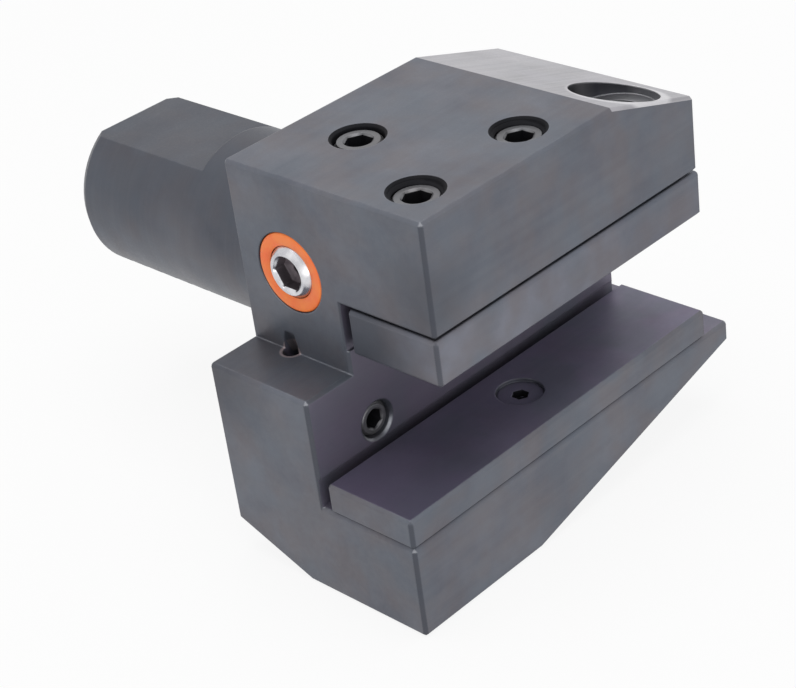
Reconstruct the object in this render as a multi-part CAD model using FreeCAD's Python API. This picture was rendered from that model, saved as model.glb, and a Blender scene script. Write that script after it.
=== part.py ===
import FreeCAD, Part
import math
import os

# Turret tool holder: a round shank, a square tool seat lying across it, and a screwed clamp bar.
# Origin on the shank axis at the seating face, +X out of the turret, +Y along the tool, +Z up.
# Every size is in millimetres.

# Shank
shank_r = 15.0
shank_len = 55.0
shank_lead = 1.5            # length of the bevel at the free end
lead_angle = 30.0
centre_hole_r = 3.2
flat_height = 12.0          # both flats lie this far from the axis
flat_start = 27.0           # round guide length before the flats begin
rack_first = 29.7           # seating face to the middle of the first groove
rack_pitch = 4.0
rack_count = 6
rack_depth = 2.0
rack_root = 1.1             # groove width at its root
rack_flank = 20.0           # flank angle from upright, degrees
seat_relief_w = 1.5         # turned relief in the seating face round the shank
seat_relief_d = 0.5
shank_seal_x = 5.6          # seating face to the middle of the seal groove
seal_wire_r = 1.2
groove_room = 1.15          # seal groove's width over the seal's

# Block, web and jaw
holder_depth = 40.0         # seating face to the front face
block_y0 = -25.5
block_y1 = 35.5
block_top = 28.0
slope_y = 16.0              # the machined slope starts here
slope_end = 22.0            # height of the slope at the far end
under_z = 9.5               # underside of the block over the clamp bar
ledge_z = -2.3              # top of the jaw beside the block
jaw_y0 = -35.0
jaw_y1 = 41.5
jaw_bottom = -37.0
taper_y = -8.3              # the underside rises from here to the tip
tip_bottom = -24.7
heel_len = 15.7             # bevel under the seating face
heel_height = 5.8
edge_break = 0.5
sharp_turn = 30.0           # edges that turn by less than this keep their corner

# Tool slot, packing plate and clamp bar
slot_wall = 21.2
wall_relief = 0.3           # the slot's rear wall lies this much deeper behind bar and plate
slot_floor = -21.0
plate_t = 5.0
plate_gap = 1.6             # plate's rear edge to the slot wall
plate_y1 = 35.5
bar_t = 7.6
bar_seam = 0.4              # bar to the underside of the block
bar_gap = 1.1               # bar's rear edge to the slot wall
bar_y1 = 36.0

# Clamp screws, pinned to the bar by snap rings
clamp_inset = 7.7           # front face back to the screws' axes
clamp_first = -18.1
clamp_pitch = 22.0
clamp_count = 3
screw_r = 4.0
screw_key = 4.0
screw_sunk = 1.0            # top of each screw below its mouth
running = 0.05              # radial clearance of a screw in its bore
mouth_bevel = 0.4
rim_bevel = 0.2             # finer bevel on the collar and the port's recess
spot_r = 7.0                # pocket round the screw that stands in the slope
spot_floor = 21.5
foot_r = 3.0
foot_t = 1.8
neck_r = 2.2
foot_well = 4.8             # depth of the well in the bar
foot_play = 0.05
ring_t = 0.8
ring_r = 3.7
ring_play = 0.1
ring_split = 1.6

# Coolant way: port in the seating face, cross bore, riser and nozzle
port_r = 2.5
port_circle = 25.0
port_angle = 30.0           # below the horizontal, degrees
cross_x = 12.7
riser_y = -9.7
riser_plug_r = 4.0
riser_plug_len = 8.0
small_plug_r = 3.0
small_plug_len = 6.0
plug_sunk = 0.6
port_seal_r = 3.9           # centre circle of the seal round the port
port_seal_wire = 0.8
jet_r = 1.5
jet_x = 8.6

# Ball nozzle
nozzle_x = 11.1
nozzle_z = 12.0
ball_r = 5.0
ball_depth = 3.0            # ball centre behind the face
ball_flat = 3.6             # ball centre to its flat front
ball_key = 5.0
ball_key_depth = 2.2
ball_bore_r = 1.5
ball_play = 0.1
collar_r = 6.55
collar_len = 5.2
bead_h = 0.35
bead_half = 0.6
bead_depth = 3.2            # bead's middle behind the face
collar_play = 0.06
nozzle_seal_r = 4.2
nozzle_seal_wire = 0.8
seal_play = 0.1
lip_flare = 0.35            # bevel of the collar's mouth and of the ball's key well

# Plate screw
plate_screw_back = 0.9      # its axis behind the middle of the plate's width
plate_screw_y = 0.3
plate_screw_r = 2.0
plate_screw_head_r = 3.8
plate_screw_len = 12.0
plate_screw_key = 2.5
plate_hole_play = 0.2

# Places that follow from the sizes above
bar_top = under_z - bar_seam
bar_bottom = bar_top - bar_t
bar_x0 = slot_wall + bar_gap
plate_top = slot_floor + plate_t
plate_x0 = slot_wall + plate_gap
plate_screw_x = (plate_x0 + holder_depth) / 2 - plate_screw_back
clamp_x = holder_depth - clamp_inset
clamp_ys = [clamp_first + clamp_pitch * i for i in range(clamp_count)]
port_y = -port_circle * math.cos(math.radians(port_angle))
port_z = -port_circle * math.sin(math.radians(port_angle))
ball_y = block_y0 + ball_depth
seal_reach = ball_r + nozzle_seal_wire + seal_play
nozzle_seal_y = ball_y + math.sqrt(seal_reach ** 2 - nozzle_seal_r ** 2)
nozzle_floor = nozzle_seal_y + nozzle_seal_wire + foot_play

X = FreeCAD.Vector(1, 0, 0)
Y = FreeCAD.Vector(0, 1, 0)
Z = FreeCAD.Vector(0, 0, 1)


def at(x, y, z):
    return FreeCAD.Vector(x, y, z)


def slab(outline, sweep):
    face = Part.Face(Part.makePolygon(outline + outline[:1]))
    return face.extrude(sweep)


def brick(x0, x1, y0, y1, z0, z1):
    return Part.makeBox(x1 - x0, y1 - y0, z1 - z0, at(x0, y0, z0))


def turned(profile, foot, axis):
    # A (radius, height) profile turned about an axis that stands on foot
    outline = [at(r, 0, h) for r, h in profile]
    solid = Part.Face(Part.makePolygon(outline + outline[:1])).revolve(at(0, 0, 0), Z, 360)
    solid.Placement = FreeCAD.Placement(foot, FreeCAD.Rotation(Z, axis))
    return solid


def well(mouth, axis, radius, depth, bevel):
    # Round hole running from its mouth against axis, with a bevelled rim
    rim = radius + bevel
    profile = [(0, -depth), (radius, -depth), (radius, -bevel), (rim, 0), (rim, 1), (0, 1)]
    return turned(profile, mouth, axis)


def hex_well(mouth, axis, key, depth):
    # Hexagon key well with a drilled cone below it
    corner = key / math.sqrt(3)
    turns = [math.radians(60 * i) for i in range(6)]
    outline = [at(corner * math.cos(a), corner * math.sin(a), -depth) for a in turns]
    shaft = slab(outline, Z * (depth + 1))
    cone = Part.makeCone(key / 2, 0, key / 4, at(0, 0, -depth), -Z)
    shape = shaft.fuse(cone)
    shape.Placement = FreeCAD.Placement(mouth, FreeCAD.Rotation(Z, axis))
    return shape


def outer_edges(solid, sharpest):
    # Straight edges where the solid fills only one of the four quarters round the edge
    chosen = []
    for edge in solid.Edges:
        sides = solid.ancestorsOfType(edge, Part.Face)
        middle = edge.valueAt((edge.FirstParameter + edge.LastParameter) / 2)
        first, second = [f.normalAt(*f.Surface.parameter(middle)) for f in sides]
        if first.getAngle(second) < math.radians(sharpest):
            continue
        steps = [(a, b) for a in (-1, 1) for b in (-1, 1)]
        probes = [middle + first * (a * edge_break) + second * (b * edge_break) for a, b in steps]
        filled = sum(solid.isInside(p, 0.001, False) for p in probes)
        if filled <= 1:
            chosen.append(edge)
    return chosen


def softened(solid, size):
    return solid.makeChamfer(size, outer_edges(solid, sharp_turn))


def guide():
    # Round part of the shank, with its seal groove
    groove_r = shank_r - 2 * seal_wire_r - foot_play
    groove_0 = shank_seal_x - groove_room * seal_wire_r
    groove_1 = shank_seal_x + groove_room * seal_wire_r
    profile = [(0, 0), (shank_r, 0), (shank_r, groove_0), (groove_r, groove_0), (groove_r, groove_1),
               (shank_r, groove_1), (shank_r, flat_start), (0, flat_start)]
    return turned(profile, at(0, 0, 0), -X)


def toothed_end():
    # Rest of the shank: bevelled end with its centre hole, two flats and the rack underneath
    lead_r = shank_r - shank_lead * math.tan(math.radians(lead_angle))
    profile = [(0, flat_start), (shank_r, flat_start), (shank_r, shank_len - shank_lead), (lead_r, shank_len),
               (0, shank_len)]
    bar = turned(profile, at(0, 0, 0), -X)
    for z0, z1 in ((flat_height, shank_r + 1), (-shank_r - 1, -flat_height)):
        bar = bar.cut(brick(-shank_len - 1, -flat_start, -shank_r, shank_r, z0, z1))
    bar = bar.cut(Part.makeCone(0, centre_hole_r, centre_hole_r * math.sqrt(3),
                                at(-shank_len + centre_hole_r * math.sqrt(3), 0, 0), -X))
    return bar.cut(rack_grooves())


def rack_grooves():
    # Cross grooves with sloping flanks, cut up into the lower flat
    root = rack_root / 2
    mouth = root + rack_depth * math.tan(math.radians(rack_flank))
    over = mouth + math.tan(math.radians(rack_flank))
    outside = -flat_height - 1
    inside = -flat_height + rack_depth
    grooves = []
    for i in range(rack_count):
        x = -rack_first - rack_pitch * i
        outline = [at(x - over, -shank_r, outside), at(x + over, -shank_r, outside),
                   at(x + root, -shank_r, inside), at(x - root, -shank_r, inside)]
        grooves.append(slab(outline, Y * (2 * shank_r)))
    return Part.makeCompound(grooves)


def forging():
    # Side outline of block, web and jaw, opened by the tool slot and bevelled at the heel
    outline = [at(0, jaw_y0, jaw_bottom), at(0, taper_y, jaw_bottom), at(0, jaw_y1, tip_bottom),
               at(0, jaw_y1, slot_floor), at(0, block_y1, slot_floor), at(0, block_y1, slope_end),
               at(0, slope_y, block_top), at(0, block_y0, block_top), at(0, block_y0, ledge_z),
               at(0, jaw_y0, ledge_z)]
    body = slab(outline, X * holder_depth)
    body = body.cut(brick(slot_wall, holder_depth + 1, jaw_y0 - 1, jaw_y1 + 1, slot_floor, under_z))
    heel = [at(-1, jaw_y0 - 1, jaw_bottom - 1), at(-1, jaw_y0 - 1, jaw_bottom + heel_height),
            at(0, jaw_y0 - 1, jaw_bottom + heel_height), at(heel_len, jaw_y0 - 1, jaw_bottom),
            at(heel_len, jaw_y0 - 1, jaw_bottom - 1)]
    body = body.cut(slab(heel, Y * (jaw_y1 - jaw_y0 + 2)))
    return softened(body.removeSplitter(), edge_break).cut(wall_reliefs())


def wall_reliefs():
    # Shallow steps in the slot's rear wall, so that the tool bears between plate and bar alone
    x0 = slot_wall - wall_relief
    heights = [(slot_floor, plate_top), (bar_bottom, under_z)]
    return [brick(x0, slot_wall + edge_break, jaw_y0 - 1, jaw_y1 + 1, z0, z1) for z0, z1 in heights]


def coolant_ways():
    # Port through the web, cross bore from the far side, riser, nozzle feed and corner jet
    port = Part.makeCylinder(port_r, slot_wall + 1, at(0, port_y, port_z), X)
    port_mouth = well(at(0, port_y, port_z), -X, port_seal_r + port_seal_wire + foot_play,
                      2 * port_seal_wire + foot_play, rim_bevel)
    port_plug = well(at(slot_wall, port_y, port_z), X, small_plug_r + running,
                     small_plug_len + plug_sunk, mouth_bevel)
    cross = Part.makeCylinder(port_r, block_y1 - port_y, at(cross_x, port_y, port_z), Y)
    cross_plug = well(at(cross_x, block_y1, port_z), Y, small_plug_r + running,
                      small_plug_len + plug_sunk, mouth_bevel)
    riser = Part.makeCylinder(port_r, block_top - port_z, at(cross_x, riser_y, port_z), Z)
    riser_plug = well(at(cross_x, riser_y, block_top), Z, riser_plug_r + running,
                      riser_plug_len + plug_sunk, mouth_bevel)
    feed_foot = at(nozzle_x, nozzle_floor, nozzle_z)
    feed = Part.makeCylinder(port_r, riser_y + port_r - nozzle_floor, feed_foot, Y)
    rise = at(0, block_y0 - port_y, ledge_z - port_z)
    jet = Part.makeCylinder(jet_r, rise.Length + 2 * jet_r, at(jet_x, port_y, port_z), rise)
    return [port, port_mouth, port_plug, cross, cross_plug, riser, riser_plug, feed, jet]


def nozzle_pocket():
    # Counterbore for collar, ball and seal, with the groove that the collar's bead snaps into
    bore = collar_r + collar_play
    half = bead_half + collar_play
    mid = -bead_depth
    profile = [(0, block_y0 - nozzle_floor), (bore, block_y0 - nozzle_floor), (bore, mid - half),
               (bore + bead_h, mid), (bore, mid + half), (bore, 1), (0, 1)]
    return turned(profile, at(nozzle_x, block_y0, nozzle_z), -Y)


def clamp_bores():
    # One bore for each clamp screw, and a level pocket where the screw stands in the slope
    bores = []
    for y in clamp_ys:
        depth = mouth_z(y) - under_z + 1
        bores.append(well(at(clamp_x, y, mouth_z(y)), Z, screw_r + running, depth, mouth_bevel))
        if y > slope_y:
            bores.append(Part.makeCylinder(spot_r, block_top - spot_floor, at(clamp_x, y, spot_floor), Z))
    return bores


def mouth_z(y):
    # Height of the level face that a clamp screw's mouth opens on
    return spot_floor if y > slope_y else block_top


def holder_body():
    body = forging().fuse([guide(), toothed_end()])
    relief = [(shank_r, -1), (shank_r + seat_relief_w, -1), (shank_r + seat_relief_w, seat_relief_d),
              (shank_r, seat_relief_d)]
    body = body.cut(turned(relief, at(0, 0, 0), X))
    mouth = at(plate_screw_x, plate_screw_y, plate_top)
    thread = Part.makeCylinder(plate_screw_r + running, plate_screw_len, mouth, -Z)
    return body.cut(coolant_ways() + clamp_bores() + [nozzle_pocket(), thread]).removeSplitter()


def clamp_bar():
    bar = brick(bar_x0, holder_depth, block_y0, bar_y1, bar_bottom, bar_top)
    bar = softened(bar, edge_break)
    wells = []
    for y in clamp_ys:
        wells.append(well(at(clamp_x, y, bar_top), Z, foot_r + ring_play, foot_well, mouth_bevel))
        groove = at(clamp_x, y, ring_z() - ring_play / 2)
        wells.append(Part.makeCylinder(ring_r + ring_play, ring_t + ring_play, groove, Z))
    return bar.cut(wells)


def foot_z():
    # Underside of the screws' feet, just clear of the wells' floors
    return bar_top - foot_well + foot_play


def ring_z():
    # Underside of the snap rings, just over the feet
    return foot_z() + foot_t + ring_play


def clamp_screw(y):
    # Headless screw: key well on top, threaded shaft, neck and round foot
    tip = foot_z()
    top = mouth_z(y) - screw_sunk
    shoulder = under_z - bar_seam + running
    bevel = screw_r - neck_r
    profile = [(0, tip), (foot_r - mouth_bevel, tip), (foot_r, tip + mouth_bevel), (foot_r, tip + foot_t),
               (neck_r, tip + foot_t), (neck_r, shoulder), (screw_r, shoulder + bevel / 2),
               (screw_r, top - mouth_bevel), (screw_r - mouth_bevel, top), (0, top)]
    screw = turned(profile, at(clamp_x, y, 0), Z)
    return screw.cut(hex_well(at(clamp_x, y, top), Z, screw_key, screw_key))


def snap_ring(y):
    # Split ring held in the bar's groove and closed over the screw's foot
    ring = turned([(neck_r + ring_play, 0), (ring_r, 0), (ring_r, ring_t), (neck_r + ring_play, ring_t)],
                  at(clamp_x, y, ring_z()), Z)
    half = ring_split / 2
    over = ring_z() + ring_t + 1
    gap = brick(clamp_x, clamp_x + ring_r + 1, y - half, y + half, ring_z() - 1, over)
    return ring.cut(gap)


def packing_plate():
    plate = brick(plate_x0, holder_depth, jaw_y0, plate_y1, slot_floor, plate_top)
    plate = softened(plate, edge_break)
    head = plate_screw_head_r + running
    hole_r = plate_screw_r + plate_hole_play
    drop = head - hole_r
    profile = [(0, -plate_t - 1), (hole_r, -plate_t - 1), (hole_r, -drop - plug_sunk),
               (head, -plug_sunk), (head, 1), (0, 1)]
    return plate.cut(turned(profile, at(plate_screw_x, plate_screw_y, plate_top), Z))


def plate_screw():
    drop = plate_screw_head_r - plate_screw_r
    top = -plug_sunk
    end = -plate_screw_len + plug_sunk
    profile = [(0, end), (plate_screw_r - mouth_bevel, end), (plate_screw_r, end + mouth_bevel),
               (plate_screw_r, top - drop), (plate_screw_head_r, top), (0, top)]
    place = at(plate_screw_x, plate_screw_y, plate_top)
    socket = hex_well(place + Z * top, Z, plate_screw_key, plate_screw_key / 2)
    return turned(profile, place, Z).cut(socket)


def socket_plug(mouth, axis, radius, length):
    # Headless plug with bevelled ends and a key well, seated on the shoulder of its hole
    top = -plug_sunk
    profile = [(0, top - length), (radius - mouth_bevel, top - length), (radius, top - length + mouth_bevel),
               (radius, top - mouth_bevel), (radius - mouth_bevel, top), (0, top)]
    return turned(profile, mouth, axis).cut(hex_well(mouth + axis * top, axis, radius, length / 2))


def nozzle_collar():
    # Ring with a ball seat inside and a rounded bead outside
    profile = [(0, 0), (collar_r - rim_bevel, 0), (collar_r, -rim_bevel), (collar_r, bead_half - bead_depth),
               (collar_r + bead_h - collar_play, -bead_depth), (collar_r, -bead_half - bead_depth),
               (collar_r, -collar_len), (0, -collar_len)]
    collar = turned(profile, at(nozzle_x, block_y0, nozzle_z), -Y)
    seat_r = ball_r + ball_play
    centre = at(nozzle_x, ball_y, nozzle_z)
    collar = collar.cut(Part.makeSphere(seat_r, centre))
    collar = collar.cut(Part.makeCylinder(seat_r, collar_len, centre, Y))
    lip = math.sqrt(seat_r ** 2 - ball_depth ** 2)
    mouth = at(nozzle_x, block_y0, nozzle_z)
    return collar.cut(Part.makeCone(lip + lip_flare, lip - lip_flare, 2 * lip_flare, mouth, Y))


def nozzle_ball():
    centre = at(nozzle_x, ball_y, nozzle_z)
    front = at(nozzle_x, ball_y - ball_flat, nozzle_z)
    ball = Part.makeSphere(ball_r, centre)
    ball = ball.cut(Part.makeCylinder(ball_r, ball_r, front, -Y))
    ball = ball.cut(Part.makeCylinder(ball_bore_r, 3 * ball_r, front, Y))
    ball = ball.cut(hex_well(front, -Y, ball_key, ball_key_depth))
    corner = ball_key / math.sqrt(3) + ball_play
    return ball.cut(Part.makeCone(corner, ball_key / 2, lip_flare, front, Y))


def o_ring(centre, axis, circle_r, wire_r):
    # Ring of eight-sided section, as wide and as high as the round wire
    turns = [math.radians(45 * i) for i in range(8)]
    profile = [(circle_r + wire_r * math.cos(a), wire_r * math.sin(a)) for a in turns]
    return turned(profile, centre, axis)


def shank_seal():
    return o_ring(at(-shank_seal_x, 0, 0), X, shank_r - seal_wire_r - foot_play / 2, seal_wire_r)


def port_seal():
    return o_ring(at(port_seal_wire, port_y, port_z), X, port_seal_r, port_seal_wire)


def nozzle_seal():
    return o_ring(at(nozzle_x, nozzle_seal_y, nozzle_z), Y, nozzle_seal_r, nozzle_seal_wire)


pieces = {
    "holder_body": holder_body(),
    "clamp_bar": clamp_bar(),
    "packing_plate": packing_plate(),
    "plate_screw": plate_screw(),
    "nozzle_collar": nozzle_collar(),
    "nozzle_ball": nozzle_ball(),
    "nozzle_seal": nozzle_seal(),
    "riser_plug": socket_plug(at(cross_x, riser_y, block_top), Z, riser_plug_r, riser_plug_len),
    "port_plug": socket_plug(at(slot_wall, port_y, port_z), X, small_plug_r, small_plug_len),
    "cross_plug": socket_plug(at(cross_x, block_y1, port_z), Y, small_plug_r, small_plug_len),
    "shank_seal": shank_seal(),
    "port_seal": port_seal(),
}
for number, y in enumerate(clamp_ys, 1):
    pieces["clamp_screw_%d" % number] = clamp_screw(y)
    pieces["snap_ring_%d" % number] = snap_ring(y)

os.makedirs("parts", exist_ok=True)
for name, shape in pieces.items():
    shape.exportStep("parts/%s.step" % name)
    print(name, len(shape.Solids), round(shape.Volume, 1), shape.isValid())
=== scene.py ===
import bpy
import bmesh
import math
from mathutils import Matrix, Vector


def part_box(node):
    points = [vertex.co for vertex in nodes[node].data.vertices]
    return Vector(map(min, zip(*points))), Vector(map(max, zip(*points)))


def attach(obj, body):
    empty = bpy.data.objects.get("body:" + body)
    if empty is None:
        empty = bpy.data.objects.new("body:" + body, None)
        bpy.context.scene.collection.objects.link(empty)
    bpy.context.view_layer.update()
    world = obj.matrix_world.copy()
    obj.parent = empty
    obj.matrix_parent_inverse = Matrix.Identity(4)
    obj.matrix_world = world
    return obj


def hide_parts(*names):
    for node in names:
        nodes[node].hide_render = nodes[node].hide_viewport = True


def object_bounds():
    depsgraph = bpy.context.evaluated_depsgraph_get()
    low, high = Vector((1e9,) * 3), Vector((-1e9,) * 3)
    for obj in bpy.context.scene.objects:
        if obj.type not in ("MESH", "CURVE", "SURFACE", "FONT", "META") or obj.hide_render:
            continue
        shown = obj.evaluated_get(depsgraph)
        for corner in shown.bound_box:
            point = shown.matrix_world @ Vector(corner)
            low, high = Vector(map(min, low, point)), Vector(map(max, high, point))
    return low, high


# Turret tool holder, in metres: +X out of the turret, +Y along the tool, +Z up to the clamp screws.
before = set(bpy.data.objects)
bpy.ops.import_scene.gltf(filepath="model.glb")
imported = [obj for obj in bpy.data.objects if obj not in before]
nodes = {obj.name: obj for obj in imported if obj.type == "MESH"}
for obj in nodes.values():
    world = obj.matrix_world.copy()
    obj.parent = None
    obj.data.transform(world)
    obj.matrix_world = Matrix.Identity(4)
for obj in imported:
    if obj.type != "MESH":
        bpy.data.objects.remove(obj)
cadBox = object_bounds()
mm = 0.001
upward = Vector((0, 0, 1))
print("frame loaded:", len(nodes), "nodes")


# Node helpers, for shader trees and geometry trees alike
def feed(tree, socket, value):
    if isinstance(value, bpy.types.NodeSocket):
        tree.links.new(value, socket)
    else:
        socket.default_value = value


def addNode(tree, kind, inputs=None, **settings):
    made = tree.nodes.new(kind)
    for key, value in settings.items():
        setattr(made, key, value)
    for key, value in (inputs or {}).items():
        feed(tree, made.inputs[key], value)
    return made


def calc(tree, operation, *values):
    made = tree.nodes.new("ShaderNodeMath")
    made.operation = operation
    for socket, value in zip(made.inputs, values):
        feed(tree, socket, value)
    return made.outputs[0]


def remap(tree, value, low, high, newLow=0.0, newHigh=1.0):
    made = addNode(tree, "ShaderNodeMapRange", {"Value": value, "From Min": low, "From Max": high,
                                                "To Min": newLow, "To Max": newHigh})
    return made.outputs[0]


def blendColours(tree, share, first, second):
    made = tree.nodes.new("ShaderNodeMix")
    made.data_type = "RGBA"
    feed(tree, made.inputs[0], share)
    feed(tree, made.inputs[6], first if isinstance(first, bpy.types.NodeSocket) else (*first, 1))
    feed(tree, made.inputs[7], second if isinstance(second, bpy.types.NodeSocket) else (*second, 1))
    return made.outputs[2]


def noiseOn(tree, place, scale, detail=2.0, roughness=0.5):
    made = addNode(tree, "ShaderNodeTexNoise", {"Vector": place, "Scale": scale, "Detail": detail,
                                                "Roughness": roughness})
    return made.outputs[0]


def stretched(tree, place, scale):
    made = addNode(tree, "ShaderNodeMapping", {"Vector": place, "Scale": scale})
    return made.outputs[0]


def roundedNormal(tree, radius):
    return addNode(tree, "ShaderNodeBevel", {"Radius": radius}, samples=6).outputs[0]


def addRelief(tree, shader, height, normal, look):
    bump = addNode(tree, "ShaderNodeBump", {"Height": height, "Normal": normal, "Strength": look["reliefShare"],
                                            "Distance": look["reliefDepth"]})
    feed(tree, shader.inputs["Normal"], bump.outputs[0])


def distanceFrom(tree, place, centre):
    made = addNode(tree, "ShaderNodeVectorMath", {0: place, 1: centre}, operation="DISTANCE")
    return made.outputs["Value"]


def newFinish(name):
    # Empty material with a shader and its object coordinates
    finish = bpy.data.materials.new(name)
    finish.use_nodes = True
    tree = finish.node_tree
    tree.nodes.clear()
    out = tree.nodes.new("ShaderNodeOutputMaterial")
    shader = tree.nodes.new("ShaderNodeBsdfPrincipled")
    tree.links.new(shader.outputs[0], out.inputs["Surface"])
    place = tree.nodes.new("ShaderNodeTexCoord").outputs["Object"]
    return finish, tree, shader, place


# Steel finishes: blotches and tints in the colour, tool lines and grain in gloss and relief, worn edges that
# are also painted highlights where they face up or back, and painted shade and light by place and by edge
# direction
spans = {"blotch": (0.35, 0.65), "tint": (0.40, 0.62), "haze": (0.45, 0.62), "lines": (0.35, 0.65),
         "paleGrain": (0.55, 0.75), "grain": (0.3, 0.7), "smear": (0.35, 0.65), "wear": (0.35, 0.60),
         "turn": (0.01, 0.16), "corner": (0.08, 0.17), "litEdgeWear": (0.0, 0.7), "upright": (0.12, 0.40)}
shankFrom = -0.2 * mm       # the shank's tool lines and painted shade start this far behind the seating face


def steelFinish(name, look):
    finish, tree, shader, place = newFinish(name)
    across = tree.nodes.new("ShaderNodeSeparateXYZ")
    feed(tree, across.inputs[0], place)
    onShank = calc(tree, "LESS_THAN", across.outputs[0], shankFrom)

    blotch = remap(tree, noiseOn(tree, place, look["blotchScale"], detail=4.0, roughness=0.6), *spans["blotch"])
    tint = remap(tree, noiseOn(tree, place, look["tintScale"]), *spans["tint"])
    haze = remap(tree, noiseOn(tree, place, look["hazeScale"], detail=3.0), *spans["haze"])
    grain = noiseOn(tree, place, look["grainScale"], detail=3.0, roughness=0.7)
    blockLines = noiseOn(tree, stretched(tree, place, look["blockLines"]), 1.0)
    shankLines = noiseOn(tree, stretched(tree, place, look["shankLines"]), 1.0)
    lines = addNode(tree, "ShaderNodeMix", {0: onShank, 2: blockLines, 3: shankLines}).outputs[0]

    colour = blendColours(tree, blotch, look["darker"], look["colour"])
    for mark, share, markColour in ((tint, "tintShare", "tint"), (haze, "tintShare", "haze"),
                                    (remap(tree, lines, *spans["lines"]), "lineShare", "paler"),
                                    (remap(tree, grain, *spans["paleGrain"]), "grainShare", "paler")):
        colour = blendColours(tree, calc(tree, "MULTIPLY", mark, look[share]), colour, look[markColour])
    # Painted shade: the shank grows darker towards its top
    shankShade = calc(tree, "MULTIPLY", onShank, remap(tree, across.outputs[2], *look["shankShadeHeights"]))
    colour = blendColours(tree, calc(tree, "MULTIPLY", shankShade, look["shankShadeShare"]), colour, look["paintedShade"])
    # Painted shade and painted light, laid on as soft patches round given points
    for centre, reach, share, patchColour in look["lightShadePatches"]:
        patch = remap(tree, distanceFrom(tree, place, centre), reach, look["patchCore"] * reach)
        colour = blendColours(tree, calc(tree, "MULTIPLY", patch, share), colour, patchColour)
    # Painted highlights, laid on as thin rings round given points
    for centre, radius, width, share, highlightColour in look["highlightRims"]:
        beside = calc(tree, "ABSOLUTE", calc(tree, "SUBTRACT", distanceFrom(tree, place, centre), radius))
        rim = remap(tree, beside, width, look["highlightCore"] * width)
        colour = blendColours(tree, calc(tree, "MULTIPLY", rim, share), colour, highlightColour)

    softEdge = roundedNormal(tree, look["edgeRadius"])
    flatNormal = tree.nodes.new("ShaderNodeNewGeometry").outputs["Normal"]
    turn = addNode(tree, "ShaderNodeVectorMath", {0: softEdge, 1: flatNormal},
                   operation="DOT_PRODUCT").outputs["Value"]
    wearAndSheen = remap(tree, calc(tree, "SUBTRACT", 1.0, turn), *spans["turn"])
    wear = remap(tree, noiseOn(tree, place, look["wearScale"], detail=3.0), *spans["wear"])
    wearAndSheen = calc(tree, "MULTIPLY", calc(tree, "MULTIPLY", wearAndSheen, wear), look["wearShare"])

    # Edge wear shows only on edges that face up or back, where it is also a painted highlight; upright front
    # edges get painted shade, and their top corners a painted highlight
    ownNormal = addNode(tree, "ShaderNodeVectorTransform", {0: softEdge}, vector_type="NORMAL",
                        convert_from="WORLD", convert_to="OBJECT").outputs[0]
    facing = addNode(tree, "ShaderNodeSeparateXYZ", {0: ownNormal}).outputs
    upright = calc(tree, "MULTIPLY", facing[0], calc(tree, "ABSOLUTE", facing[1]))
    corner = remap(tree, calc(tree, "MULTIPLY", upright, facing[2]), *spans["corner"])
    litFacing = remap(tree, calc(tree, "SUBTRACT", facing[2], facing[0]), *spans["litEdgeWear"])
    litEdgeWear = calc(tree, "MULTIPLY", wearAndSheen, litFacing)
    uprightShade = calc(tree, "MULTIPLY", remap(tree, upright, *spans["upright"]), look["edgeShade"])
    colour = blendColours(tree, uprightShade, colour, look["paintedShade"])
    colour = blendColours(tree, litEdgeWear, colour, look["wearAndSheen"])
    colour = blendColours(tree, calc(tree, "MULTIPLY", corner, look["cornerShine"]), colour, look["wearAndSheen"])
    feed(tree, shader.inputs["Base Color"], colour)

    gloss = calc(tree, "MULTIPLY_ADD", remap(tree, grain, *spans["grain"]), look["roughSpread"],
                 look["roughness"])
    gloss = calc(tree, "MULTIPLY_ADD", blotch, -look["blotchGloss"], gloss)
    feed(tree, shader.inputs["Roughness"], gloss)
    shader.inputs["Metallic"].default_value = look["metallic"]
    shader.inputs["Specular IOR Level"].default_value = look["specular"]

    addRelief(tree, shader, calc(tree, "MULTIPLY_ADD", lines, look["lineRelief"], grain), softEdge, look)
    return finish


shadeBlack = (0.050, 0.055, 0.070)       # colour of painted shade: the shank's top, upright front edges and darker patches
# Pale grey of tool lines and grain, and of the painted light low on the shank
paleGreyAndLight = (0.215, 0.222, 0.245)
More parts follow.
